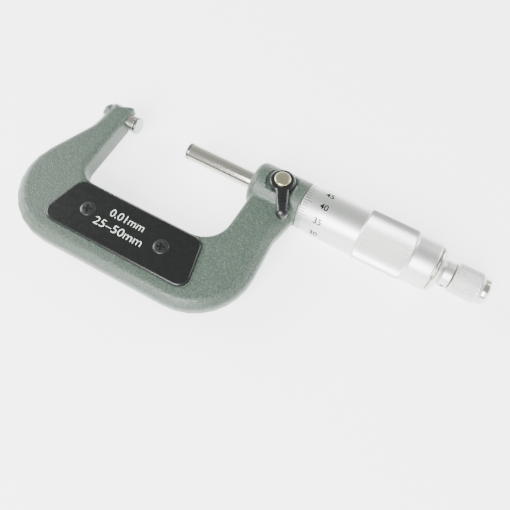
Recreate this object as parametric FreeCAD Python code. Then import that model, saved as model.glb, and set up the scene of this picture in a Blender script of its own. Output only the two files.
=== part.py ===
"""Outside micrometer, 25 to 50 mm by 0.01 mm, as an assembly of separate pieces.

Millimetres. The origin is the centre of the anvil's measuring face. +X runs along the measuring axis
from the anvil to the ratchet, +Y from the bow of the frame to the measuring axis, and +Z out of the
frame's front cover plate. The thimble is run down to the frame, a little past the zero of its range.
"""

import FreeCAD
import Part

import math
import os

V = FreeCAD.Vector
AXIS = V(1, 0, 0)
UP = V(0, 0, 1)

# Driving dimensions
GAP = 22.4            # anvil face to spindle face with the thimble against the frame
ROD_R = 3.25          # spindle and anvil
TIP = 1.2             # thickness of each carbide tip
RUN = 0.06            # radial clearance of a running fit
WEB_Z = 4.5           # half thickness of the frame's web
RIM = 2.3             # slope round the frame's outer edge
THROAT_EDGE = 0.9     # slope round the frame's inner edge
BARREL_X0 = 50.2      # left end of the frame's barrel
BARREL_X1 = 70.2      # right end of the frame's barrel
BARREL_R = 8.45
SLEEVE_R = 7.4        # graduated sleeve, outside
NUT_R = 6.7           # inner sleeve, outside
SLEEVE_X0 = 66.0
SLEEVE_X1 = 112.0
THIMBLE_X0 = 70.45    # front edge of the thimble
THIMBLE_X1 = 119.9
THIMBLE_BORE_R = 7.6
KNURL_R = 9.25
CAP_X1 = 122.8
STEM_X1 = 126.6
KNOB_X1 = 136.8
KNOB_R = 5.5
END_X1 = 139.3
LOCK_X = 61.0         # the lock screw's axis stands on the barrel here
LOCK_SEAT_Z = 7.2
LEVER_ANGLE = -63.0   # the way the lock lever points, from +X
PLATE_Z = 5.7         # outer face of a cover plate
PLATE_Y0, PLATE_Y1 = -50.6, -32.0
SCREW_Y = -41.0
SCREW_X = (7.6, 37.0)
RATCHET_TEETH = 12


def turned(points, axis=AXIS, foot=V(0, 0, 0)):
    """A solid turned about an axis from (along, radius) points of its half section."""
    side = V(0, 1, 0) if axis == AXIS else V(1, 0, 0)
    wire = Part.makePolygon([foot + axis * a + side * r for a, r in points + points[:1]])
    return Part.Face(wire).revolve(foot, axis, 360)


def rod(x0, x1, radius):
    """A plain cylinder on the measuring axis."""
    return Part.makeCylinder(radius, x1 - x0, V(x0, 0, 0), AXIS)


def post(x, y, z0, z1, radius):
    """A plain cylinder that stands along Z."""
    return Part.makeCylinder(radius, z1 - z0, V(x, y, z0), UP)


def near_edges(shape, test):
    """The edges whose every end and middle point passes the test."""
    found = []
    for edge in shape.Edges:
        spots = [edge.valueAt(edge.FirstParameter + (edge.LastParameter - edge.FirstParameter) * t)
                 for t in (0.0, 0.5, 1.0)]
        if all(test(p) for p in spots):
            found.append(edge)
    return found


def frame_web():
    """The flat C of the frame, with its outer edges sloped as a drop forging's are."""
    outline = [(-4.0, 4.2), (-13.0, 4.2), (-14.2, -9.0), (-35.5, -56.6), (69.3, -56.6), (67.8, -19.0),
               (69.9, -9.0), (69.9, 0.0), (53.0, 0.0), (51.6, -30.9), (-4.4, -30.9)]
    rounds = {2: 9.0, 3: 22.2, 4: 21.8, 5: 12.0, 9: 9.8, 10: 6.2}
    web = Part.Face(Part.makePolygon([V(x, y, -WEB_Z) for x, y in outline + outline[:1]]))
    web = web.extrude(V(0, 0, 2 * WEB_Z))
    for i, radius in rounds.items():
        x, y = outline[i]
        corner = near_edges(web, lambda p: math.hypot(p.x - x, p.y - y) < 1e-3)
        web = web.makeFillet(radius, corner)

    def on_face(p):
        return abs(abs(p.z) - WEB_Z) < 1e-6

    def in_throat(p):
        return -4.6 < p.x < 53.1 and p.y > -31.0

    def on_rim(p):
        return on_face(p) and not in_throat(p) and not (p.x > 52.0 and p.y > -9.1)

    web = web.makeChamfer(RIM, near_edges(web, on_rim))
    return web.makeChamfer(THROAT_EDGE, near_edges(web, lambda p: on_face(p) and in_throat(p) and p.y < 4.0))


def frame():
    """Web, barrel and anvil boss in one casting, with its bores and seats."""
    barrel = turned([(BARREL_X0, 0), (BARREL_X0, 5.2), (BARREL_X0 + 0.9, 6.6), (BARREL_X0 + 2.2, 7.8),
                     (BARREL_X0 + 3.8, BARREL_R), (BARREL_X1 - 0.4, BARREL_R),
                     (BARREL_X1, BARREL_R - 0.4), (BARREL_X1, 0)])
    boss = turned([(-15.4, 0), (-15.4, 2.6), (-14.6, 3.6), (-5.0, 3.6), (-5.0, 0)])
    body = frame_web().fuse([barrel, boss])
    cuts = [
        rod(-12.0, 0.0, ROD_R),
        rod(BARREL_X0 - 1, SLEEVE_X0, ROD_R + RUN),
        rod(SLEEVE_X0 - 1, BARREL_X1 + 1, NUT_R),
        rod(SLEEVE_X0, BARREL_X1 + 1, SLEEVE_R),
        post(LOCK_X, 0, LOCK_SEAT_Z, 12, 5.6),
        post(LOCK_X, 0, 0, 12, 2.05),
    ]
    cuts += [post(x, SCREW_Y, -WEB_Z - 1, WEB_Z + 1, 1.25) for x in SCREW_X]
    return body.cut(cuts)


def plate():
    """The front heat-insulating cover plate: a trapezium with round corners and a softened rim."""
    corners = [(-6.2, PLATE_Y0), (52.2, PLATE_Y0), (48.2, PLATE_Y1), (-1.4, PLATE_Y1)]
    slab = Part.Face(Part.makePolygon([V(x, y, WEB_Z) for x, y in corners + corners[:1]]))
    slab = slab.extrude(V(0, 0, PLATE_Z - WEB_Z))
    slab = slab.makeFillet(4.0, [e for e in slab.Edges if abs(e.tangentAt(e.FirstParameter).z) > 0.99])
    slab = slab.makeChamfer(0.35, near_edges(slab, lambda p: abs(p.z - PLATE_Z) < 1e-6))
    holes = [post(x, SCREW_Y, WEB_Z - 1, PLATE_Z + 1, 1.35) for x in SCREW_X]
    holes += [post(x, SCREW_Y, WEB_Z + 0.7, PLATE_Z + 1, 3.0) for x in SCREW_X]
    return slab.cut(holes)


def plate_screw(x):
    """A pan-head cross-recess screw sunk in the plate."""
    head_z = WEB_Z + 0.7
    screw = turned([(0, 0), (0, 2.85), (0.75, 2.75), (1.2, 2.1), (1.35, 1.2), (1.4, 0)], UP, V(x, SCREW_Y, head_z))
    screw = screw.fuse(post(x, SCREW_Y, 0.6, head_z, 1.2))
    for turn in (0, 90):
        slot = Part.makeBox(3.2, 0.7, 1.2, V(x - 1.6, SCREW_Y - 0.35, head_z + 0.6))
        slot.rotate(V(x, SCREW_Y, 0), UP, turn + 20)
        screw = screw.cut(slot)
    return screw


def other_side(shape):
    """The same piece on the frame's rear face."""
    return shape.mirror(V(0, 0, 0), UP)


def measuring_tip(x_face, way):
    """A carbide disc with a ground face at x_face; way is +1 if the metal lies towards +X."""
    edge = 0.25
    return turned([(x_face, 0), (x_face, ROD_R - edge), (x_face + way * edge, ROD_R),
                   (x_face + way * TIP, ROD_R), (x_face + way * TIP, 0)])


def sleeve():
    """The graduated outer sleeve, pushed into the frame's barrel."""
    return rod(SLEEVE_X0, SLEEVE_X1, SLEEVE_R).cut(rod(SLEEVE_X0 - 1, SLEEVE_X1 + 1, NUT_R + 0.02))


def inner_sleeve():
    """The guide with the micrometer nut at its rear, split and tapered for the adjusting nut."""
    body = turned([(SLEEVE_X0 - 1, 0), (SLEEVE_X0 - 1, NUT_R), (99, NUT_R), (99, 4.6), (107, 4.6),
                   (110.8, 5.2), (110.8, 0)])
    body = body.cut(rod(SLEEVE_X0 - 2, SLEEVE_X1, ROD_R + RUN))
    for turn in (0, 60, 120):
        saw = Part.makeBox(9, 0.7, 14, V(102.5, -0.35, -7))
        saw.rotate(V(0, 0, 0), AXIS, turn)
        body = body.cut(saw)
    return body


def adjusting_nut():
    """The ring nut that closes the split thread to take up play, with its spanner slots."""
    nut = turned([(100.0, 4.6), (100.0, 6.5), (106.5, 6.5), (106.5, 4.6)])
    for turn in (0, 90):
        slot = Part.makeBox(1.2, 1.2, 14, V(105.4, -0.6, -7))
        slot.rotate(V(0, 0, 0), AXIS, turn)
        nut = nut.cut(slot)
    return nut


def spindle():
    """Plain ground front, screwed middle and a taper that seats in the thimble's cap."""
    return turned([(GAP + TIP, 0), (GAP + TIP, ROD_R), (79.0, ROD_R), (79.4, 2.95), (80.6, 2.95), (81.0, 3.2),
                   (111.6, 3.2), (112.2, 2.9), (113.2, 2.9), (118.5, 2.2), (118.5, 0)])


def thimble():
    """The turned shell: a cone for the graduations, a plain band, the grip and the rear band."""
    return turned([
        (THIMBLE_X0, THIMBLE_BORE_R), (THIMBLE_X0, 8.05), (THIMBLE_X0 + 0.15, 8.2), (77.3, 8.72),
        (92.8, 8.75), (93.2, KNURL_R), (110.9, KNURL_R), (112.1, 8.72), (THIMBLE_X1 - 0.3, 8.68),
        (THIMBLE_X1, 8.4), (THIMBLE_X1, THIMBLE_BORE_R)])


def thimble_cap():
    """The plug that closes the thimble and takes the spindle's taper."""
    rear = THIMBLE_X1 + 0.3
    cap = turned([(113.2, 0), (113.2, THIMBLE_BORE_R), (THIMBLE_X1, THIMBLE_BORE_R), (rear, THIMBLE_BORE_R),
                  (rear, 8.3), (rear + 0.3, 8.5), (rear + 1.0, 8.3), (CAP_X1 - 0.8, 7.2), (CAP_X1, 5.9),
                  (CAP_X1, 0)])
    seat = turned([(113.1, 0), (113.1, 2.9 + RUN), (113.2, 2.9 + RUN), (118.6, 2.2 + RUN), (118.6, 0)])
    return cap.cut([seat, rod(118.5, CAP_X1 + 1, 2.0)])


def ratchet_stem():
    """The neck that screws into the cap, with a spanner hole, and the spigot that carries the ratchet."""
    stem = turned([(118.8, 0), (118.8, 2.0), (CAP_X1, 2.0), (CAP_X1, 4.2), (CAP_X1 + 0.6, 4.2),
                   (CAP_X1 + 0.9, 4.8), (STEM_X1 - 0.3, 4.8), (STEM_X1, 4.5), (STEM_X1, 2.2),
                   (KNOB_X1, 2.2), (KNOB_X1, 0)])
    hole = Part.makeCylinder(0.75, 12, V(CAP_X1 + 2.1, 0, 0), V(0, -1, -0.15))
    return stem.cut([hole, rod(130, KNOB_X1 + 1, 1.2)])


def ratchet_disc():
    """The fixed ratchet wheel, with face teeth, pressed on the spigot."""
    return toothed_disc(128.0, 129.0, 4.1, 2.2, 0.45)


def ratchet_pawl():
    """The sprung wheel that slips over the fixed one; it turns with the knob."""
    disc = toothed_disc(0.0, 1.0, 4.3, 2.2 + RUN, 0.45)
    disc.rotate(V(0, 0, 0), UP, 180)
    disc.translate(V(131.0, 0, 0))
    return disc


def toothed_disc(x0, x1, outer, inner, tooth):
    """A washer from x0 to x1 with saw teeth that stand tooth high on its far face."""
    disc = rod(x0, x1 + tooth, outer)
    step = 2 * math.pi / RATCHET_TEETH
    gaps = []
    for i in range(RATCHET_TEETH):
        a, b = i * step, (i + 0.9) * step
        far = 2 * outer
        ends = [V(x1 + tooth, 0, 0), V(x1 + tooth, far * math.cos(a), far * math.sin(a)),
                V(x1 + tooth, far * math.cos(b), far * math.sin(b))]
        low = V(x1, far * math.cos(a), far * math.sin(a))
        faces = [Part.Face(Part.makePolygon([p, q, r, p])) for p, q, r in (
            (ends[0], ends[1], ends[2]), (ends[0], ends[1], low), (ends[1], ends[2], low),
            (ends[0], ends[2], low))]
        gap = Part.Solid(Part.Shell(faces))
        if gap.Volume < 0:
            gap.reverse()
        gaps.append(gap)
    return disc.cut(gaps).cut(rod(x0 - 1, x1 + 2, inner))


def ratchet_spring():
    """The flat-ended coil spring behind the slipping wheel."""
    coil = Part.makeHelix(1.0, 3.6, 3.2)
    section = Part.Wire(Part.makeCircle(0.3, V(3.2, 0, 0), V(0, 1, 0)))
    spring = Part.Wire(coil.Edges).makePipeShell([section], True, True)
    spring.rotate(V(0, 0, 0), V(0, 1, 0), 90)
    spring.translate(V(131.45, 0, 0))
    return spring


def ratchet_knob():
    """The knurled cup of the ratchet stop."""
    shell = turned([(STEM_X1 + 0.15, 2.2 + RUN), (STEM_X1 + 0.15, 5.0), (STEM_X1 + 0.65, KNOB_R),
                    (KNOB_X1 - 0.9, KNOB_R), (KNOB_X1, 4.95), (KNOB_X1, 2.2 + RUN)])
    return shell.cut(rod(127.6, 135.6, 4.4))


def ratchet_screw():
    """The slotted screw that holds the knob on its spigot."""
    screw = turned([(131.0, 0), (131.0, 1.2), (KNOB_X1, 1.2), (KNOB_X1 + 0.1, 1.2), (KNOB_X1 + 0.1, 4.6),
                    (END_X1 - 0.4, 4.6), (END_X1, 4.2), (END_X1, 0)])
    slot = Part.makeBox(3, 1.5, 12, V(END_X1 - 1.5, -0.75, -6))
    slot.rotate(V(0, 0, 0), AXIS, 70)
    return screw.cut(slot)


def lock_lever():
    """The cranked lever that turns the lock screw, with a ball on its end."""
    hub = turned([(LOCK_SEAT_Z + 0.15, 2.0), (LOCK_SEAT_Z + 0.15, 4.6), (LOCK_SEAT_Z + 0.7, 4.7),
                  (8.6, 4.2), (9.6, 3.9), (9.6, 2.0)], UP, V(LOCK_X, 0, 0))
    side = [(2.6, 7.6), (5.8, 7.6), (8.8, 6.6), (10.2, 4.7), (12.8, 4.7), (13.4, 5.6), (12.7, 7.2),
            (11.0, 8.5), (8.2, 9.3), (5.0, 9.6), (2.6, 9.6)]
    half = 2.0
    blade = Part.Face(Part.makePolygon([V(r, -half, z) for r, z in side + side[:1]]))
    blade = blade.extrude(V(0, 2 * half, 0))
    ends = near_edges(blade, lambda p: p.x > 5.0)
    blade = blade.makeFillet(0.45, [e for e in ends if abs(e.tangentAt(e.FirstParameter).y) < 0.5])
    ball = Part.makeSphere(2.3, V(11.6, 0, 7.0))
    arm = blade.fuse(ball)
    arm.rotate(V(0, 0, 0), UP, LEVER_ANGLE)
    arm.translate(V(LOCK_X, 0, 0))
    return hub.fuse(arm).cut(post(LOCK_X, 0, 7, 12, 2.0))


def lock_screw():
    """The screw that the lever turns, with a bright domed head."""
    return turned([(4.6, 0), (4.6, 1.6), (5.0, 2.0), (9.6, 2.0), (9.6, 3.1), (10.3, 3.05), (10.6, 2.7),
                   (10.75, 1.4), (10.8, 0)], UP, V(LOCK_X, 0, 0))


def lock_pad():
    """The brass pad between the lock screw and the spindle."""
    pad = post(LOCK_X, 0, 1.0, 4.5, 2.05)
    return pad.cut(rod(LOCK_X - 4, LOCK_X + 4, ROD_R + RUN))


def save(name, *solids):
    """Writes one node: a single solid, or a group of separate ones."""
    shape = solids[0] if len(solids) == 1 else Part.makeCompound(list(solids))
    shape = shape.removeSplitter() if len(solids) == 1 else shape
    print(name, "valid" if shape.isValid() else "NOT VALID", len(shape.Solids), round(shape.Volume, 1))
    shape.exportStep(f"parts/{name}.step")


os.makedirs("parts", exist_ok=True)
front_screws = [plate_screw(x) for x in SCREW_X]
save("frame", frame())
save("front_plate", plate())
save("rear_plate", other_side(plate()))
save("front_plate_screws", *front_screws)
save("rear_plate_screws", *[other_side(s) for s in front_screws])
save("anvil", rod(-12.0, -TIP, ROD_R))
save("anvil_tip", measuring_tip(0.0, -1))
save("sleeve", sleeve())
save("inner_sleeve", inner_sleeve())
save("adjusting_nut", adjusting_nut())
save("spindle", spindle())
save("spindle_tip", measuring_tip(GAP, 1))
save("thimble", thimble())
save("thimble_cap", thimble_cap())
save("ratchet_stem", ratchet_stem())
save("ratchet_disc", ratchet_disc())
save("ratchet_pawl", ratchet_pawl())
save("ratchet_spring", ratchet_spring())
save("ratchet_knob", ratchet_knob())
save("ratchet_screw", ratchet_screw())
save("lock_lever", lock_lever())
save("lock_screw", lock_screw())
save("lock_pad", lock_pad())
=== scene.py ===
# %% Load the frame
import math

import bmesh
import bpy
import numpy as np
from mathutils import Matrix, Vector


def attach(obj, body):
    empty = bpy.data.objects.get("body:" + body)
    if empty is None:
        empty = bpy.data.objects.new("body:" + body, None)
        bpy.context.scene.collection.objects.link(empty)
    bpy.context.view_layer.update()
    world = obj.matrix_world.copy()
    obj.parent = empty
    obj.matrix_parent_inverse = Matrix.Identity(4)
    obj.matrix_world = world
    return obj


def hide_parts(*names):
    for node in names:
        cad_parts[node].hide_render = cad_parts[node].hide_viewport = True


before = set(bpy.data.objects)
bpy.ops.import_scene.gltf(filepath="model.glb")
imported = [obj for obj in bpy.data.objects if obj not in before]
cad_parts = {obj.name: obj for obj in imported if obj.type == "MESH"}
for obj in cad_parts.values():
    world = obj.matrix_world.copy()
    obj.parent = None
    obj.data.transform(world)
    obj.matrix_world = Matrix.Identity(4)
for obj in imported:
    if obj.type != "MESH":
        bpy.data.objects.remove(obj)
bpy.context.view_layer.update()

# %% [markdown]
# # An outside micrometer, 25 to 50 mm
# The tool is a forged C with a fixed anvil on one arm and a barrel on the other. A hardened spindle runs
# in the barrel on a 0.5 mm thread, and the thimble that turns it is divided in fifty, so one division is
# 0.01 mm.
# The measuring axis is X, the C opens towards +Y and the cover plate with the range faces +Z.
# Everything below is worked out in millimetres, and only the last step turns it into metres.

# %% Sizes that more than one piece shares
MM = 0.001
GAP = 22.4                       # opening at rest, with the thimble run down to the frame
ROD_R = 3.25                     # spindle and anvil
WEB_Z = 4.5                      # half thickness of the frame's web
BARREL = (50.2, 70.2, 8.45)      # left end, right end, radius
COVER_Z = 5.7                    # outer face of a cover plate
COVER_SCREWS = ((7.6, -41.0), (37.0, -41.0))
LOCK_X = 61.0
SLEEVE_R = 7.4
THIMBLE_X0, THIMBLE_X1 = 70.45, 119.9
CAP_X1, STEM_X1, KNOB_X1, END_X1 = 122.8, 126.6, 136.8, 139.3
DATUM_DEG = -15.0                # where the sleeve's long line stands, from +Z towards +Y
PITCH = 0.5                      # millimetres of travel for one turn
DIVISIONS = 50
BAND_R = 8.76                    # thimble's plain bands
GRIP_R = 9.25                    # tops of the thimble's ridges
NECK_R = 4.8                     # neck between the cap and the knob
KNOB_R = 5.5
INK_LIFT = 0.02                  # how far ink stands off what it is printed on


# %% [markdown]
# ## Tools for making meshes
# Nearly every piece is either turned or is a skin drawn over a grid of two parameters, so a few small
# functions serve the whole instrument.

# %% Grids, outlines and pieces
def grid_faces(rows, cols):
    """Quads between neighbouring rows of points, where each row is a closed ring of cols points."""
    i, j = np.meshgrid(np.arange(rows - 1), np.arange(cols), indexing="ij")
    k = (j + 1) % cols
    quads = np.stack([i * cols + j, i * cols + k, (i + 1) * cols + k, (i + 1) * cols + j], axis=-1)
    return quads.reshape(-1, 4).tolist()


def rings_to_mesh(rings, start_pole=None, end_pole=None):
    """Vertices and faces of a skin over closed rings; a pole closes an end with a fan of triangles."""
    rows, cols = rings.shape[:2]
    points = [rings.reshape(-1, 3)]
    faces = grid_faces(rows, cols)
    count = rows * cols
    for pole, row, flip in ((start_pole, 0, True), (end_pole, rows - 1, False)):
        if pole is None:
            continue
        points.append(np.asarray(pole, float).reshape(1, 3))
        ring = np.arange(cols) + row * cols
        nxt = np.roll(ring, -1)
        first, second = (nxt, ring) if flip else (ring, nxt)
        faces += np.stack([first, second, np.full(cols, count)], axis=-1).tolist()
        count += 1
    return np.concatenate(points), faces


def joined(parts):
    """Several (vertices, faces) lists as one."""
    points, faces, count = [], [], 0
    for p, f in parts:
        points.append(p)
        faces += [[i + count for i in face] for face in f]
        count += len(p)
    return np.concatenate(points), faces


def outward(mesh):
    """Turns every face to look away from the inside of the piece."""
    work = bmesh.new()
    work.from_mesh(mesh)
    bmesh.ops.recalc_face_normals(work, faces=work.faces)
    work.to_mesh(mesh)
    work.free()


def piece(name, points, faces, body, nodes, slot, material, sharp=35.0, tidy=True):
    """One visual piece: its mesh in metres, shading, body, the nodes it stands for and its finish."""
    mesh = bpy.data.meshes.new(name)
    mesh.from_pydata((np.asarray(points) * MM).tolist(), [], faces)
    if tidy:
        outward(mesh)
    mesh.shade_smooth()
    if sharp:
        mesh.set_sharp_from_angle(angle=math.radians(sharp))
    mesh.materials.append(material)
    obj = bpy.data.objects.new(name.replace(" ", "_"), mesh)
    bpy.context.scene.collection.objects.link(obj)
    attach(obj, body)
    if nodes:
        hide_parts(*nodes)
    low, high = np.min(points, axis=0), np.max(points, axis=0)
    print(f"{name}: {len(points)} points, {np.round(low, 1).tolist()} to {np.round(high, 1).tolist()} mm")


def eased(profile, radius, steps=4):
    """The profile with each inner corner replaced by a short curve that starts radius away from it."""
    out = [profile[0]]
    for a, p, b in zip(profile[:-2], profile[1:-1], profile[2:]):
        a, p, b = np.array(a, float), np.array(p, float), np.array(b, float)
        la, lb = np.linalg.norm(a - p), np.linalg.norm(b - p)
        cut = min(radius, 0.45 * la, 0.45 * lb)
        s, e = p + (a - p) * cut / la, p + (b - p) * cut / lb
        for t in np.linspace(0, 1, steps + 1):
            out.append(tuple((1 - t) ** 2 * s + 2 * t * (1 - t) * p + t * t * e))
    return out + [profile[-1]]


def radial_skin(along, radius, angle):
    """A skin round the measuring axis whose radius changes both along it and round it."""
    x = np.broadcast_to(along[:, None], radius.shape)
    return rings_to_mesh(np.stack([x, radius * np.sin(angle), radius * np.cos(angle)], axis=-1))


def turned(profile, count, ease, axis="x", foot=(0, 0, 0)):
    """A turned solid: each (along, radius) point of the profile becomes a circle round the axis.
    A point with no radius at either end becomes a pole."""
    profile = eased(profile, ease)
    inner = [p for p in profile if p[1] > 1e-6]
    along, radius = np.array(inner).T
    angle = np.linspace(0, 2 * np.pi, count, endpoint=False)
    c, s = np.cos(angle), np.sin(angle)
    rings = np.empty((len(inner), count, 3))
    order = (0, 1, 2) if axis == "x" else (2, 0, 1)
    rings[..., order[0]] = along[:, None]
    rings[..., order[1]] = radius[:, None] * c
    rings[..., order[2]] = radius[:, None] * s
    rings += np.array(foot, float)
    poles = []
    for end in (profile[0], profile[-1]):
        spot = np.array(foot, float)
        spot[order[0]] += end[0]
        poles.append(spot if end[1] <= 1e-6 else None)
    return rings_to_mesh(rings, *poles)


def rounded_outline(corners, radii, steps=10):
    """A closed outline through the corners, each rounded by an arc that touches both of its sides."""
    corners = np.array(corners, float)
    out = []
    for i, p in enumerate(corners):
        a, b = corners[i - 1], corners[(i + 1) % len(corners)]
        ua, ub = (a - p) / np.linalg.norm(a - p), (b - p) / np.linalg.norm(b - p)
        r = radii[i]
        if r <= 0:
            out.append(p)
            continue
        half = math.acos(np.clip(ua @ ub, -1, 1)) / 2
        start, end = p + ua * r / math.tan(half), p + ub * r / math.tan(half)
        centre = p + (ua + ub) / np.linalg.norm(ua + ub) * r / math.sin(half)
        t0 = math.atan2(*(start - centre)[::-1])
        t1 = math.atan2(*(end - centre)[::-1])
        sweep = (t1 - t0 + math.pi) % (2 * math.pi) - math.pi
        t = t0 + sweep * np.linspace(0, 1, steps + 1)
        out += list(centre + r * np.stack([np.cos(t), np.sin(t)], axis=-1))
    return np.array(out)


# %% [markdown]
# ## Finishes
# Each finish starts from the real thing: hammertone stove enamel on the forging, moulded black covers,
# satin chrome on the thimble, ground and lapped steel on the measuring rods. Patterns are sized in real
# millimetres.

# %% Small tools for materials
def rgb(hex_colour):
    """A screen colour such as 7F8F88 as linear light."""
    parts = [int(hex_colour[i:i + 2], 16) / 255 for i in (0, 2, 4)]
    return tuple(c / 12.92 if c <= 0.04045 else ((c + 0.055) / 1.055) ** 2.4 for c in parts) + (1.0,)


def add(tree, kind, links=None, **settings):
    """Adds a node, sets its properties and sockets, and links its inputs from (node, output) pairs."""
    node = tree.nodes.new(kind)
    for key, value in settings.items():
        if hasattr(node, key):
            setattr(node, key, value)
        else:
            node.inputs[key.replace("_", " ")].default_value = value
    for socket, (source, output) in (links or {}).items():
        tree.links.new(source.outputs[output], node.inputs[socket])
    return node


def new_material(name):
    """An empty node material with a shader, its output and object coordinates in millimetres."""
    material = bpy.data.materials.new(name)
    material.use_nodes = True
    tree = material.node_tree
    tree.nodes.clear()
    shader = add(tree, "ShaderNodeBsdfPrincipled")
    add(tree, "ShaderNodeOutputMaterial", {"Surface": (shader, "BSDF")})
    coords = add(tree, "ShaderNodeTexCoord")
    mm = add(tree, "ShaderNodeVectorMath", {0: (coords, "Object")}, operation="SCALE", Scale=1 / MM)
    return material, tree, shader, mm


def set_sockets(shader, **values):
    """Sets a shader's unlinked inputs by name, with an underscore for each space."""
    for key, value in values.items():
        shader.inputs[key.replace("_", " ")].default_value = value


def uneven_gloss(tree, shader, where, size, low, high):
    """Roughness that wanders from low to high with a noise of the given feature size in millimetres."""
    noise = add(tree, "ShaderNodeTexNoise", {"Vector": (where, "Vector")}, Detail=3.0, Scale=1.0 / size)
    ramp = add(tree, "ShaderNodeMapRange", {"Value": (noise, "Fac")},
               From_Min=0.3, From_Max=0.7, To_Min=low, To_Max=high)
    tree.links.new(ramp.outputs["Result"], shader.inputs["Roughness"])
    return noise


def bump(tree, shader, height, output, distance_mm, strength=1.0):
    """Lets a pattern tilt the shading as if it stood the given distance proud."""
    node = add(tree, "ShaderNodeBump", {"Height": (height, output)},
               Strength=strength, Distance=distance_mm * MM)
    tree.links.new(node.outputs["Normal"], shader.inputs["Normal"])


# %% Hammertone enamel
CELL_MM, GRAIN_MM = 0.5, 0.35


def hammertone():
    """Silicone in the stoved enamel pulls it into small cells: dark pits with lighter walls."""
    material, tree, shader, mm = new_material("hammertone enamel")
    set_sockets(shader, Roughness=0.30, Specular_IOR_Level=0.45, Coat_Weight=0.1, Coat_Roughness=0.15)
    cells = add(tree, "ShaderNodeTexVoronoi", {"Vector": (mm, "Vector")}, Scale=1.0 / CELL_MM)
    grain = add(tree, "ShaderNodeTexNoise", {"Vector": (mm, "Vector")}, Detail=4.0, Scale=1.0 / GRAIN_MM)
    both = add(tree, "ShaderNodeMath", {0: (cells, "Distance"), 1: (grain, "Fac")}, operation="ADD")
    span = add(tree, "ShaderNodeMapRange", {"Value": (both, "Value")}, From_Min=0.45, From_Max=1.35)
    mix = add(tree, "ShaderNodeMix", {"Factor": (span, "Result")}, data_type="RGBA")
    mix.inputs[6].default_value = rgb("2A332C")
    mix.inputs[7].default_value = rgb("4F5D53")
    tree.links.new(mix.outputs[2], shader.inputs["Base Color"])
    bump(tree, shader, both, "Value", 0.10)
    return material


# %% Metals, black finishes and inks
def metal(name, colour, low, high, size, ridge_mm=0.0):
    """A bare metal whose roughness wanders from low to high over patches of the given size."""
    material, tree, shader, mm = new_material(name)
    set_sockets(shader, Base_Color=rgb(colour), Metallic=1.0)
    noise = uneven_gloss(tree, shader, mm, size, low, high)
    if ridge_mm:
        bump(tree, shader, noise, "Fac", ridge_mm)
    return material


def lathe_metal(name, colour, low, high, feed, ridge_mm):
    """Metal with the fine rings that a lathe or a grinding belt leaves: noise squeezed along the axis."""
    material, tree, shader, mm = new_material(name)
    set_sockets(shader, Base_Color=rgb(colour), Metallic=1.0)
    squeeze = add(tree, "ShaderNodeVectorMath", {0: (mm, "Vector")}, operation="MULTIPLY")
    squeeze.inputs[1].default_value = (1.0 / feed, 0.25, 0.25)
    noise = uneven_gloss(tree, shader, squeeze, 1.0, low, high)
    bump(tree, shader, noise, "Fac", ridge_mm)
    return material


def coated(name, colour, low, high, size, grain_mm, coat=0.0):
    """A painted, moulded or blackened surface with a slightly uneven gloss."""
    material, tree, shader, mm = new_material(name)
    set_sockets(shader, Base_Color=rgb(colour), Coat_Weight=coat, Coat_Roughness=0.1)
    noise = uneven_gloss(tree, shader, mm, size, low, high)
    bump(tree, shader, noise, "Fac", grain_mm, 0.6)
    return material


ENAMEL = hammertone()
COVER_BLACK = coated("moulded black cover", "0D100E", 0.24, 0.30, 2.0, 0.001)
SCREW_BLACK = coated("blackened screw", "161816", 0.3, 0.42, 0.5, 0.003, 0.1)
LEVER_BLACK = coated("black glossy lever", "0D0F10", 0.24, 0.34, 0.8, 0.003, 0.15)
WHITE_INK = coated("white printed ink", "F2F4F0", 0.5, 0.6, 0.3, 0.002)
BLACK_INK = coated("black filled line", "101213", 0.6, 0.75, 0.3, 0.002)
BLACK_INK.node_tree.nodes["Principled BSDF"].inputs["Specular IOR Level"].default_value = 0.1
SATIN = lathe_metal("satin chrome", "DCDFDB", 0.36, 0.46, 0.09, 0.0012)
PIN = lathe_metal("nickelled lock screw", "C9C3A4", 0.2, 0.3, 0.3, 0.0006)
BRIGHT = lathe_metal("polished chrome", "D6D6CC", 0.14, 0.22, 0.3, 0.0006)
GROUND = lathe_metal("ground steel", "CFCCC2", 0.12, 0.2, 0.12, 0.0012)
CARBIDE = metal("lapped carbide", "A9ABAD", 0.12, 0.18, 0.2)
TOOL_STEEL = metal("machined steel", "B4B4B0", 0.3, 0.42, 0.4, 0.002)
SPRING_STEEL = metal("spring steel", "8C8C8E", 0.25, 0.35, 0.3)
BRASS = metal("brass", "C9A24E", 0.25, 0.35, 0.4, 0.002)
print("finishes:", len(bpy.data.materials))

# %% [markdown]
# ## The forged frame
# The C, the barrel and the anvil boss are one forging, cleaned up and enamelled, so its edges are eased and
# every meeting is a fillet. That is easiest to say as a distance: how far a point is from the metal.
# Distances can be blended where two shapes meet, which makes the fillets, and the skin is drawn where the
# distance is nought.

# %% Distance to the frame
OUTLINE_CORNERS = [(-4.0, 4.2), (-13.0, 4.2), (-14.2, -9.0), (-35.5, -56.6), (69.3, -56.6), (67.8, -19.0),
                   (69.9, -9.0), (69.9, 0.0), (53.0, 0.0), (51.6, -30.9), (-4.4, -30.9)]
OUTLINE_RADII = [0.6, 1.2, 12.0, 22.2, 21.8, 12.0, 0, 0, 0, 9.8, 6.2]
OUTLINE = rounded_outline(OUTLINE_CORNERS, OUTLINE_RADII, 8)


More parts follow.
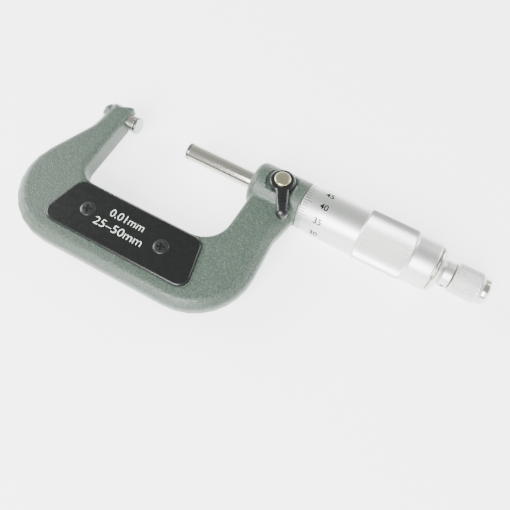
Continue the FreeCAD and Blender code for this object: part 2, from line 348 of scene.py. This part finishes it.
def outline_distance(x, y):
    """Signed distance in the frame's plane: nearest side of the outline, and negative inside it."""
    best = np.full(np.broadcast(x, y).shape, 1e9)
    inside = np.zeros(best.shape, bool)
    for (ax, ay), (bx, by) in zip(OUTLINE, np.roll(OUTLINE, -1, axis=0)):
        ex, ey = bx - ax, by - ay
        t = np.clip(((x - ax) * ex + (y - ay) * ey) / (ex * ex + ey * ey + 1e-12), 0, 1)
        best = np.minimum(best, np.hypot(x - ax - t * ex, y - ay - t * ey))
        crosses = ((ay > y) != (by > y)) & (x < ax + ex * (y - ay) / (ey if ey else 1e-12))
        inside ^= crosses
    return np.where(inside, -best, best)


def meet(a, b, radius):
    """Where two solids overlap, with the edge between them rounded to the radius."""
    u, v = a + radius, b + radius
    return np.minimum(np.maximum(u, v), 0) + np.hypot(np.maximum(u, 0), np.maximum(v, 0)) - radius


def join(a, b, fillet):
    """Two solids as one, with a fillet where they meet."""
    u, v = np.maximum(fillet - a, 0), np.maximum(fillet - b, 0)
    return np.maximum(np.minimum(a, b), fillet) - np.hypot(u, v)


def along_x(x, y, z, x0, x1, radius, edge):
    """Distance to a round bar on the measuring axis."""
    return meet(np.hypot(y, z) - radius, np.abs(x - (x0 + x1) / 2) - (x1 - x0) / 2, edge)


def forging(x, y, z):
    """Distance to the whole forging. The web's outer rim has a broad bevel, which narrows round the throat.
    A shallow round seat is sunk in the barrel for the lock, and a short bore lets the spindle out."""
    plan = outline_distance(x, y)
    throat = np.clip((y + 34) / 3, 0, 1) * np.clip((x + 9.0) / 4, 0, 1) * np.clip((60.5 - x) / 3, 0, 1)
    face = np.abs(z) - WEB_Z
    slope = (plan + face + 2.6 - 1.9 * throat) / math.sqrt(2)
    web = meet(meet(plan, face, 0.9), slope, 0.7)
    barrel = along_x(x, y, z, BARREL[0], BARREL[1], BARREL[2], 2.6 - 2.2 * np.clip((x - 60) / 5, 0, 1))
    boss = along_x(x, y, z, -14.2, -8.0, 3.5, 0.8)
    solid = join(join(web, barrel, 0.7), boss, 0.6)
    seat = meet(np.hypot(x - LOCK_X, y) - 5.75, 7.1 - z, 0.1)
    bore = along_x(x, y, z, 40.0, 54.0, ROD_R + 0.35, 0.1)
    return np.maximum(np.maximum(solid, -seat), -bore)


# %% Skin where the distance is nought
def surface_net(field, low, high, step, polish=4):
    """Cuts space into small cubes. Each cube that the surface crosses gets one point, moved onto the surface
    along the field's slope. Each grid edge that the surface crosses gives a quad between the four cubes
    round it."""
    axes = [np.arange(a, b + step, step) for a, b in zip(low, high)]
    x, y, z = axes[0][:, None, None], axes[1][None, :, None], axes[2][None, None, :]
    value = field(x, y, z)
    solid = value < 0
    n = np.array(solid.shape) - 1
    corners = [solid[i:n[0] + i, j:n[1] + j, k:n[2] + k] for i in (0, 1) for j in (0, 1) for k in (0, 1)]
    total = sum(c.astype(np.int8) for c in corners)
    mixed = (total > 0) & (total < 8)
    number = np.full(mixed.shape, -1)
    number[mixed] = np.arange(mixed.sum())
    cells = np.argwhere(mixed)
    points = np.array(low) + (cells + 0.5) * step
    points = slide_onto(field, points, step, polish)
    faces = []
    for d in range(3):
        e, f = (d + 1) % 3, (d + 2) % 3
        lower = [slice(None)] * 3
        upper = [slice(None)] * 3
        lower[d], upper[d] = slice(0, -1), slice(1, None)
        starts = solid[tuple(lower)] & ~solid[tuple(upper)]
        ends = ~solid[tuple(lower)] & solid[tuple(upper)]
        for mask, turn in ((starts, 1), (ends, -1)):
            at = np.argwhere(mask)
            at = at[(at[:, e] > 0) & (at[:, f] > 0) & (at[:, e] < n[e]) & (at[:, f] < n[f])]
            ring = []
            for de, df in ((0, 0), (-1, 0), (-1, -1), (0, -1))[::turn]:
                cell = at.copy()
                cell[:, e] += de
                cell[:, f] += df
                ring.append(number[tuple(cell.T)])
            faces.append(np.stack(ring, axis=-1))
    return points, np.concatenate(faces).tolist()


def slide_onto(field, points, step, polish):
    """Newton's steps along the field's slope, none longer than a cube, bring the points to the surface."""
    h = step * 0.05
    for _ in range(polish):
        here = field(*points.T)
        slope = np.stack([(field(*(points + h * u).T) - here) / h for u in np.eye(3)], axis=-1)
        size = np.maximum((slope ** 2).sum(axis=-1), 0.2)
        move = -(here / size)[:, None] * slope
        points = points + np.clip(move, -step, step)
    return points


CASTING = surface_net(forging, (-25.5, -58.5, -9.6), (71.6, 9.6, 9.6), 0.45)
piece("forged frame", *CASTING, "frame_body", ["frame"], "frame_paint", ENAMEL, sharp=50)

# %% [markdown]
# ## Cover plates
# A black moulding is screwed to each face of the bow, so that the warmth of the hand doesn't lengthen the
# frame. It is one outline drawn again and again, a little further in and a little higher, and closed with
# a flat face.

# %% A raised plate with a rolled edge
def cover(side):
    """The plate's skin: rings of one rounded trapezium, inset and lifted by a quarter circle at the rim."""
    corners = [(-6.2, -50.6), (52.2, -50.6), (48.2, -32.0), (-1.4, -32.0)]
    roll = 0.8
    t = np.linspace(0, math.pi / 2, 7)
    inset = np.concatenate([[0.0], roll * (1 - np.cos(t)), [roll + 0.25]])
    height = np.concatenate([[WEB_Z - 0.3], COVER_Z - roll + roll * np.sin(t), [COVER_Z]])
    centre = np.mean(corners, axis=0)
    rings = []
    for d, z in zip(inset, height):
        shrunk = [np.array(c) - np.sign(np.array(c) - centre) * d for c in corners]
        ring = rounded_outline(shrunk, [4.0 - 0.8 * d] * 4, 10)
        rings.append(np.column_stack([ring, np.full(len(ring), z * side)]))
    points, faces = rings_to_mesh(np.array(rings))
    cols = len(rings[0])
    faces.append(list(range((len(rings) - 1) * cols, len(rings) * cols)))
    faces.append(list(range(cols))[::-1])
    return points, faces


def screw_head(x, y, side):
    """A low dome with a cross recess: height over a disc, pulled down where two slots cross."""
    radius, seat, crown, sink = 2.85, COVER_Z - 0.3, 0.6, 0.85
    r = radius * np.linspace(0, 1, 46)[1:]
    a = np.linspace(0, 2 * np.pi, 144, endpoint=False)
    rr, aa = np.meshgrid(r, a, indexing="ij")
    u, v = rr * np.cos(aa), rr * np.sin(aa)
    dome = crown * (1 - (rr / radius) ** 4) ** 0.5
    turn = math.radians(20)
    p, q = u * math.cos(turn) + v * math.sin(turn), -u * math.sin(turn) + v * math.cos(turn)
    arms = [np.clip((0.42 - np.abs(a)) / 0.14, 0, 1) * np.clip((1.65 - np.abs(b)) / 0.3, 0, 1)
            for a, b in ((p, q), (q, p))]
    z = seat + dome - sink * np.maximum(*arms) * (1 - 0.25 * rr / radius)
    rings = np.stack([u + x, v + y, z * side], axis=-1)
    foot = rings[-1:].copy()
    foot[..., 2] = (seat - 0.6) * side
    pole = (x, y, (seat + crown - sink) * side)
    return rings_to_mesh(np.concatenate([rings, foot]), start_pole=pole)


for side, word in ((1, "front"), (-1, "rear")):
    piece(f"{word} cover plate", *cover(side), "frame_body", [f"{word}_plate"], "plate_black", COVER_BLACK)
    heads = joined([screw_head(x, y, side) for x, y in COVER_SCREWS])
    piece(f"{word} cover screws", *heads, "frame_body", [f"{word}_plate_screws"], "screw_black", SCREW_BLACK)


# %% [markdown]
# ## Printed and filled marks
# The range and the resolution are printed in white on the front plate. The numbers are generic: any
# micrometer of this range carries them. Lettering starts as a font outline, becomes a mesh, and is then
# laid on its surface.

# %% Lettering as a mesh
CAPITAL = 0.72                   # a capital's height as a part of the font's size


def lettering(text, height, weight):
    """A flat mesh of a line of text, centred, with capitals of the given height in millimetres. A weight
    above nought thickens the strokes and one below it thins them."""
    curve = bpy.data.curves.new("letters", "FONT")
    curve.body = text
    curve.size = height / CAPITAL
    curve.align_x, curve.align_y = "CENTER", "CENTER"
    curve.resolution_u = 6
    curve.offset = weight * curve.size
    holder = bpy.data.objects.new("letters", curve)
    bpy.context.scene.collection.objects.link(holder)
    bpy.context.view_layer.update()
    shaped = holder.evaluated_get(bpy.context.evaluated_depsgraph_get())
    mesh = bpy.data.meshes.new_from_object(shaped)
    bpy.data.objects.remove(holder)
    bpy.data.curves.remove(curve)
    return mesh


def sliced(mesh, spacing, reach):
    """Cuts the lettering into strips across its height, so that it can bend round a cylinder."""
    work = bmesh.new()
    work.from_mesh(mesh)
    for y in np.arange(-reach, reach + spacing, spacing):
        everything = work.verts[:] + work.edges[:] + work.faces[:]
        bmesh.ops.bisect_plane(work, geom=everything, plane_co=(0, float(y), 0), plane_no=(0, 1, 0))
    work.to_mesh(mesh)
    work.free()
    return mesh


def mesh_arrays(mesh):
    """Points and faces of a mesh, which is then thrown away."""
    points = np.empty(len(mesh.vertices) * 3)
    mesh.vertices.foreach_get("co", points)
    faces = [list(p.vertices) for p in mesh.polygons]
    bpy.data.meshes.remove(mesh)
    return points.reshape(-1, 3), faces


def on_plate(text, x, y, height, width):
    """Text laid on the front plate, stretched to a stated width."""
    points, faces = mesh_arrays(lettering(text, height, -0.012))
    scale = width / np.ptp(points[:, 0])
    level = np.full(len(points), COVER_Z + INK_LIFT)
    return np.column_stack([points[:, 0] * scale + x, points[:, 1] + y, level]), faces


def on_barrel(text, x, degrees, radius, height):
    """Text bent round the axis at an angle measured from +Z towards +Y, reading along +X."""
    points, faces = mesh_arrays(sliced(lettering(text, height, 0.02), 0.25, height))
    angle = math.radians(degrees) + points[:, 1] / radius
    return np.column_stack([points[:, 0] + x, radius * np.sin(angle), radius * np.cos(angle)]), faces


PRINT = joined([on_plate("0.01mm", 22.0, -38.4, 3.0, 13.3), on_plate("25–50mm", 21.5, -43.4, 3.1, 18.9)])
piece("printed range", *PRINT, "frame_body", [], None, WHITE_INK, sharp=0, tidy=False)


# %% Filled lines on a turned surface
def line_mark(x0, x1, degrees, r0, r1, width):
    """A thin strip along the axis, at one angle, lying just on a cylinder or a cone."""
    half = width / 2
    a = math.radians(degrees)
    corners = []
    for x, r, s in ((x0, r0, -half), (x1, r1, -half), (x1, r1, half), (x0, r0, half)):
        b = a + s / r
        corners.append((x, (r + INK_LIFT) * math.sin(b), (r + INK_LIFT) * math.cos(b)))
    return np.array(corners), [[0, 1, 2, 3]]


# %% [markdown]
# ## Anvil and spindle
# Both are hardened rod, ground round and tipped with a carbide disc that is lapped flat. The lapped edge
# has a tiny bevel. The spindle's hidden rear half is where the thread would be, and is drawn plain.

# %% Measuring rods
ROD_SIDES = 128
TIP, BEVEL = 1.2, 0.25           # thickness of a carbide disc, and its bevel
ROD_END = TIP + 0.05
ANVIL_ROD = [(-15.2, 0), (-15.2, 2.2), (-14.7, 2.7), (-9.0, 2.7), (-9.0, ROD_R), (-ROD_END, ROD_R),
             (-ROD_END, 0)]
ANVIL_FACE = [(-TIP, 0), (-TIP, ROD_R), (-BEVEL, ROD_R), (0, ROD_R - BEVEL), (0, 0)]
SPINDLE_ROD = [(GAP + ROD_END, 0), (GAP + ROD_END, ROD_R), (79.0, ROD_R), (79.6, 2.95), (80.6, 2.95),
               (81.0, 3.2), (111.6, 3.2), (112.2, 2.9), (118.5, 2.2), (118.5, 0)]
SPINDLE_FACE = [(GAP - x, radius) for x, radius in ANVIL_FACE]
piece("anvil rod", *turned(ANVIL_ROD, ROD_SIDES, 0.1), "frame_body", ["anvil"], "ground_steel", GROUND)
piece("anvil face", *turned(ANVIL_FACE, ROD_SIDES, 0.04), "frame_body", ["anvil_tip"], "carbide", CARBIDE)
piece("spindle rod", *turned(SPINDLE_ROD, ROD_SIDES, 0.06),
      "spindle_body", ["spindle"], "ground_steel", GROUND)
piece("spindle face", *turned(SPINDLE_FACE, ROD_SIDES, 0.04),
      "spindle_body", ["spindle_tip"], "carbide", CARBIDE)

# %% [markdown]
# ## Sleeve
# The sleeve is fixed in the barrel and only shows when the thimble is backed off. Its long datum line has
# marks on both sides, whole millimetres above and halves below, numbered every five millimetres.

# %% Sleeve and its scale
SLEEVE_X0, SLEEVE_X1, SLEEVE_BORE_R = 66.0, 112.0, 6.8
SLEEVE = [(SLEEVE_X0, SLEEVE_BORE_R), (SLEEVE_X0, SLEEVE_R), (SLEEVE_X1, SLEEVE_R),
          (SLEEVE_X1, SLEEVE_BORE_R), (SLEEVE_X0, SLEEVE_BORE_R)]
piece("graduated sleeve", *turned(SLEEVE, 144, 0.1), "frame_body", ["sleeve"], "satin_chrome", SATIN)
SLEEVE_LINE = 0.12               # width of the lines filled in the sleeve


def sleeve_scale():
    """Datum line, a mark every half millimetre and a number every five, from 25 to 50."""
    start = THIMBLE_X0 + (25.0 - GAP)
    marks = [line_mark(start - 1.5, start + 27.0, DATUM_DEG, SLEEVE_R, SLEEVE_R, SLEEVE_LINE)]
    for n in range(51):
        x = start + n * PITCH
        whole = n % 2 == 0
        length = (2.4 if n % 10 == 0 else 1.6) if whole else 1.3
        spread = math.degrees(length / SLEEVE_R)
        span = np.linspace(0, spread if whole else -spread, 6)
        a = np.radians(DATUM_DEG + span)
        r = SLEEVE_R + INK_LIFT
        left = np.column_stack([np.full(6, x - SLEEVE_LINE / 2), r * np.sin(a), r * np.cos(a)])
        right = left + np.array([SLEEVE_LINE, 0, 0])
        marks.append((np.concatenate([left, right]), [[i, i + 6, i + 7, i + 1] for i in range(5)]))
    for number in range(25, 51, 5):
        x = start + number - 25.0
        marks.append(on_barrel(str(number), x, DATUM_DEG + 29.0, SLEEVE_R + INK_LIFT, 1.7))
    return joined(marks)


piece("sleeve scale", *sleeve_scale(), "frame_body", [], None, BLACK_INK, sharp=0, tidy=False)

# %% [markdown]
# ## Thimble
# One turned shell in satin chrome. Its front bevel carries the fifty divisions, then comes a plain band, a
# knurled grip with straight ridges pressed by a knurling wheel, and a plain band at the rear.

# %% Thimble shell with a knurled grip
RIDGES = 84
RIDGE_DEPTH = 0.34


def bevel_radius(x):
    """Radius of the thimble's graduated front: a gentle cone that runs out into the plain band."""
    return np.interp(x, [THIMBLE_X0, 77.3, 92.8], [8.2, 8.72, 8.75])


def thimble():
    """Rings round the shell's outside, turned in at both ends. On the grip the radius also falls into a vee
    between every two ridges, by an amount that fades out at both ends."""
    front = [(THIMBLE_X0 + 0.6, 7.62), (THIMBLE_X0, 7.66), (THIMBLE_X0, 8.1), (THIMBLE_X0 + 0.2, 8.22),
             (77.3, 8.72), (77.6, BAND_R), (92.9, BAND_R), (93.2, 8.98)]
    grip = [(93.6, GRIP_R), (94.0, GRIP_R), (110.2, GRIP_R), (110.6, 9.22)]
    rear = [(111.2, 8.98), (111.6, 8.82), (112.1, BAND_R), (119.3, 8.74), (THIMBLE_X1 - 0.15, 8.6),
            (THIMBLE_X1, 8.4), (THIMBLE_X1, 7.7)]
    profile = np.array(eased(front + grip + rear, 0.08, 2))
    count = RIDGES * 8
    angle = np.linspace(0, 2 * np.pi, count, endpoint=False)
    saw = np.abs((angle * RIDGES / (2 * np.pi)) % 1.0 - 0.5) * 2
    depth = RIDGE_DEPTH * np.interp(profile[:, 0], [93.2, 93.6, 110.4, 111.2], [0, 1, 1, 0])
    return radial_skin(profile[:, 0], profile[:, 1, None] - depth[:, None] * saw ** 1.2, angle)


piece("thimble shell", *thimble(), "thimble_body", ["thimble"], "satin_chrome", SATIN, sharp=40)


# %% Fifty divisions and their numbers
def thimble_scale():
    """Division n stands where it meets the datum line when the opening's remainder over half a millimetre is
    n hundredths. Numbers grow towards +Y on the front, the way they pass the datum as the gap opens."""
    at_datum = (GAP % PITCH) / PITCH * DIVISIONS
    marks = []
    for n in range(DIVISIONS):
        degrees = DATUM_DEG + (n - at_datum) * 360.0 / DIVISIONS
        start, end = THIMBLE_X0 + 0.15, 73.6 if n % 5 == 0 else 72.5
        r0, r1 = bevel_radius(start) + 0.01, bevel_radius(end) + 0.01
        marks.append(line_mark(start, end, degrees, r0, r1, 0.19))
        if n % 5 == 0:
            marks.append(on_barrel(str(n), 78.2 if n else 77.6, degrees, BAND_R + 0.03, 2.3))
    return joined(marks)


piece("thimble scale", *thimble_scale(), "thimble_body", [], None, BLACK_INK, sharp=0, tidy=False)

# %% [markdown]
# ## Rear cap, neck and ratchet
# The cap closes the thimble. Behind it a neck with a spanner hole, drawn as a disc of painted shade, carries
# the ratchet's knob, which has a fine diamond knurl, and a polished end screw holds the knob on.

# %% Cap and neck
CAP = [(113.2, 0), (113.2, 7.6), (119.7, 7.6), (120.25, 7.6), (120.3, 8.2), (120.5, 8.45), (121.1, 8.3),
       (122.0, 7.5), (122.6, 6.3), (CAP_X1, 5.2), (CAP_X1, 0)]
NECK = ([(118.8, 0), (118.8, 4.2), (CAP_X1 - 0.3, 4.2), (CAP_X1 + 0.7, 4.75)]
        + [(CAP_X1 + d, NECK_R) for d in (1.0, 1.5, 2.0, 2.5, 3.0)]
        + [(STEM_X1 - 0.3, NECK_R), (STEM_X1, 4.4), (STEM_X1 + 0.15, 2.3), (STEM_X1 + 0.15, 0)])
piece("rear cap", *turned(CAP, 160, 0.2), "thimble_body", ["thimble_cap"], "satin_chrome", BRIGHT, sharp=40)
piece("ratchet neck", *turned(NECK, 160, 0.08), "thimble_body", ["ratchet_stem"], "satin_chrome", SATIN)
HOLE_X, HOLE_DEG, HOLE_R = CAP_X1 + 2.1, -98.0, 0.78


def spanner_hole():
    """Painted shade of the spanner hole: a small black disc bent to lie just on the neck, standing in for
    the shade inside the hole.
    """
    r = np.linspace(0, 1, 10)[1:]
    a = np.linspace(0, 2 * np.pi, 36, endpoint=False)
    rr, aa = np.meshgrid(r, a, indexing="ij")
    middle = math.radians(HOLE_DEG)
    turn = middle + HOLE_R * rr * np.sin(aa) / NECK_R
    reach = NECK_R + 0.03
    x = HOLE_X + HOLE_R * rr * np.cos(aa)
    rings = np.stack([x, reach * np.sin(turn), reach * np.cos(turn)], axis=-1)
    return rings_to_mesh(rings, start_pole=(HOLE_X, reach * math.sin(middle), reach * math.cos(middle)))


# Painted shade: a black disc where the spanner hole's shade falls, not a hole cut in the neck.
piece("painted spanner hole shade", *spanner_hole(), "thimble_body", [], None, LEVER_BLACK, tidy=False)


# %% Ratchet knob and end screw
GROOVE_DEPTH = 0.28
SLOT_DEG, SLOT_DEPTH = 70, 1.1


def knob():
    """The knob's radius is a plain profile less the deeper of two families of helical grooves, which leaves
    small pyramids; the grooves fade out at both ends."""
    x0 = STEM_X1 + 0.2
    ends = [(x0, 2.4), (x0, 4.9), (x0 + 0.25, 5.2), (x0 + 0.6, 5.48)]
    middle = [(x, KNOB_R) for x in np.arange(x0 + 0.8, KNOB_X1 - 1.0, 0.12)]
    tail = [(KNOB_X1 - 0.8, 5.45), (KNOB_X1 - 0.45, 5.2), (KNOB_X1 - 0.1, 4.95), (KNOB_X1, 4.8),
            (KNOB_X1, 2.4)]
    profile = np.array(ends + middle + tail)
    count, starts = 360, 36
    angle = np.linspace(0, 2 * np.pi, count, endpoint=False)
    turn = angle[None, :] * starts / (2 * np.pi)
    lead = profile[:, :1] / (2 * np.pi * KNOB_R / starts)
    one = np.abs((turn + lead) % 1.0 - 0.5) * 2
    two = np.abs((turn - lead) % 1.0 - 0.5) * 2
    groove = np.maximum(one, two) ** 2
    fade = np.interp(profile[:, 0], [x0 + 0.3, x0 + 1.0, KNOB_X1 - 1.6, KNOB_X1 - 0.7], [0, 1, 1, 0])
    return radial_skin(profile[:, 0], profile[:, 1:] - GROOVE_DEPTH * fade[:, None] * groove, angle)


piece("ratchet knob", *knob(), "ratchet_body", ["ratchet_knob", "ratchet_pawl", "ratchet_spring"],
      "satin_chrome", SATIN)


def end_screw():
    """A polished disc with a bevelled edge, and a screwdriver slot where its face sinks."""
    points, faces = turned([(131.0, 0), (131.0, 1.2), (KNOB_X1 + 0.05, 1.2), (KNOB_X1 + 0.1, 4.5),
                            (KNOB_X1 + 0.3, 4.65), (END_X1 - 0.7, 4.65), (END_X1 - 0.1, 4.1)]
                           + [(END_X1, r) for r in np.arange(4.0, 0.1, -0.1)] + [(END_X1, 0)], 240, 0.05)
    t = math.radians(SLOT_DEG)
    across = -points[:, 1] * math.sin(t) + points[:, 2] * math.cos(t)
    slot = np.clip((0.72 - np.abs(across)) / 0.08, 0, 1)
    points[:, 0] -= SLOT_DEPTH * slot * (points[:, 0] > END_X1 - 0.75)
    return points, faces


piece("ratchet end screw", *end_screw(), "thimble_body", ["ratchet_screw", "ratchet_disc"],
      "bright_chrome", BRIGHT)

# %% [markdown]
# ## Spindle lock
# A small cranked lever turns a screw that presses a brass pad on the spindle. The lever is black and
# rounded all over, and the screw's domed head is bright.

# %% Lock lever and lock screw
LEVER_DEG = -63.0


def lever_arm():
    """Ovals strung along the lever's bent middle line, each as wide and as thick as the lever there."""
    stations, sides = 60, 48
    s = np.linspace(0, 1, stations)
    reach = np.interp(s, [0, 0.3, 0.62, 0.8, 1.0], [2.2, 5.6, 9.2, 11.3, 13.75])
    height = np.interp(s, [0, 0.3, 0.62, 0.8, 1.0], [8.75, 8.7, 7.9, 7.25, 7.0])
    smooth = np.ones(9) / 9
    height = np.convolve(np.pad(height, 4, mode="edge"), smooth, "valid")
    wide = np.interp(s, [0, 0.3, 0.6, 0.82, 1.0], [2.5, 2.3, 2.15, 2.25, 2.25])
    thick = np.interp(s, [0, 0.3, 0.6, 0.82, 1.0], [0.85, 0.9, 1.15, 2.1, 2.1])
    cap = np.sqrt(np.clip(1 - np.clip((reach - 11.6) / 2.2, 0, 1) ** 2, 0.0004, 1))
    a = np.linspace(0, 2 * np.pi, sides, endpoint=False)
    side = np.sign(np.cos(a)) * np.abs(np.cos(a)) ** 0.8
    up = np.sign(np.sin(a)) * np.abs(np.sin(a)) ** 0.8
    u = np.broadcast_to(reach[:, None], (stations, sides))
    v = (wide * cap)[:, None] * side
    z = height[:, None] + (thick * cap)[:, None] * up
    t = math.radians(LEVER_DEG)
    x = LOCK_X + u * math.cos(t) - v * math.sin(t)
    y = u * math.sin(t) + v * math.cos(t)
    rings = np.stack([x, y, z], axis=-1)
    return rings_to_mesh(rings, rings[0].mean(axis=0), rings[-1].mean(axis=0))


LOCK_FOOT = (LOCK_X, 0, 0)
HUB = [(7.35, 2.1), (7.35, 4.5), (7.6, 4.75), (8.4, 4.8), (9.0, 4.6), (9.5, 4.1), (9.62, 3.6), (9.6, 2.1)]
SCREW_HEAD = [(7.5, 0), (7.5, 2.05), (9.62, 2.05), (9.62, 2.8), (9.75, 2.92), (10.25, 2.88), (10.55, 2.6),
              (10.72, 1.9), (10.8, 0)]
piece("lock lever", *joined([turned(HUB, 128, 0.2, "z", LOCK_FOOT), lever_arm()]),
      "lock_body", ["lock_lever"], "lever_black", LEVER_BLACK, sharp=45)
piece("lock screw head", *turned(SCREW_HEAD, 96, 0.15, "z", LOCK_FOOT),
      "lock_body", ["lock_screw"], "bright_chrome", PIN)

# %% [markdown]
# ## Pieces that stay as the design made them
# The guide, its ring nut and the brass pad have no visual piece of their own, so they show as they were
# designed and only get their metals. The ratchet's wheels and spring stand behind the knob and the end screw
# and don't show. Every other node is given the finish of the piece that takes its place.

# %% Finishes of the design's own nodes
FINISH = {"inner_sleeve": TOOL_STEEL, "adjusting_nut": TOOL_STEEL, "ratchet_disc": TOOL_STEEL,
          "ratchet_pawl": TOOL_STEEL, "ratchet_spring": SPRING_STEEL, "lock_pad": BRASS, "frame": ENAMEL,
          "front_plate": COVER_BLACK, "rear_plate": COVER_BLACK, "front_plate_screws": SCREW_BLACK,
          "rear_plate_screws": SCREW_BLACK, "anvil": GROUND, "anvil_tip": CARBIDE, "sleeve": SATIN,
          "spindle": GROUND, "spindle_tip": CARBIDE, "thimble": SATIN, "thimble_cap": BRIGHT,
          "ratchet_stem": SATIN, "ratchet_knob": SATIN, "ratchet_screw": BRIGHT, "lock_lever": LEVER_BLACK,
          "lock_screw": PIN}
for name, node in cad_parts.items():
    node.data.materials.clear()
    node.data.materials.append(FINISH[name])
print("finished nodes:", len(FINISH))

# %% [markdown]
# ## Floor, light and camera
# The micrometer lies on its back on a white table under large soft lights, as small tools are shown in a
# catalogue. The camera stands in front of the bow and looks steeply down.

# %% White table
LOWEST = -9.3
TABLE_HALF = 3.0                 # metres
mesh = bpy.data.meshes.new("table")
corners = [(x * TABLE_HALF, y * TABLE_HALF, LOWEST * MM) for x, y in ((-1, -1), (1, -1), (1, 1), (-1, 1))]
mesh.from_pydata(corners, [], [[0, 1, 2, 3]])
TABLE = bpy.data.objects.new("table", mesh)
bpy.context.scene.collection.objects.link(TABLE)
PAPER, _, paper, _ = new_material("white table")
set_sockets(paper, Base_Color=rgb("FCFDFC"), Roughness=0.9, Emission_Color=rgb("FBFFFC"),
            Emission_Strength=2.2)
mesh.materials.append(PAPER)


# %% Soft boxes and sky
def soft_box(name, place, aim, size, watts):
    """A square area light in metres that faces the point it is aimed at."""
    light = bpy.data.lights.new(name, "AREA")
    light.size = size
    light.energy = watts
    obj = bpy.data.objects.new(name, light)
    way = (Vector(aim) - Vector(place)).normalized()
    obj.matrix_world = Matrix.Translation(Vector(place)) @ way.to_track_quat("-Z", "Y").to_matrix().to_4x4()
    bpy.context.scene.collection.objects.link(obj)


MIDDLE = (0.055, -0.02, 0.0)
soft_box("key", (0.05, -0.75, 0.60), MIDDLE, 0.6, 25.0)
soft_box("side", (-0.85, -0.05, 0.50), MIDDLE, 0.5, 13.0)
soft_box("rim", (0.60, 0.60, 0.50), MIDDLE, 0.5, 5.0)
world = bpy.data.worlds.new("studio")
bpy.context.scene.world = world
world.use_nodes = True
sky = world.node_tree
sky.nodes.clear()
where = add(sky, "ShaderNodeTexCoord")
split = add(sky, "ShaderNodeSeparateXYZ", {"Vector": (where, "Generated")})
shade = add(sky, "ShaderNodeValToRGB", {"Fac": (split, "Z")})
low, high = shade.color_ramp.elements
low.position, low.color = 0.1, (0.9, 0.92, 0.91, 1)
high.position, high.color = 0.85, (0.34, 0.35, 0.345, 1)
light = add(sky, "ShaderNodeBackground", {"Color": (shade, "Color")}, Strength=1.5)
add(sky, "ShaderNodeOutputWorld", {"Surface": (light, "Background")})

# %% Camera
camera_data = bpy.data.cameras.new("camera")
camera_data.lens = 38.57
camera_data.sensor_width = 36.0
camera_data.clip_start = 0.01
camera = bpy.data.objects.new("camera", camera_data)
RIGHT, UP, BACK = (0.8779, 0.4777, 0.0330), (-0.4442, 0.7867, 0.4288), (0.1789, -0.3911, 0.9028)
turn = Matrix((RIGHT, UP, BACK)).transposed().to_4x4()
camera.matrix_world = Matrix.Translation(Vector((98.06, -99.17, 169.05)) * MM) @ turn
bpy.context.scene.collection.objects.link(camera)
bpy.context.scene.camera = camera
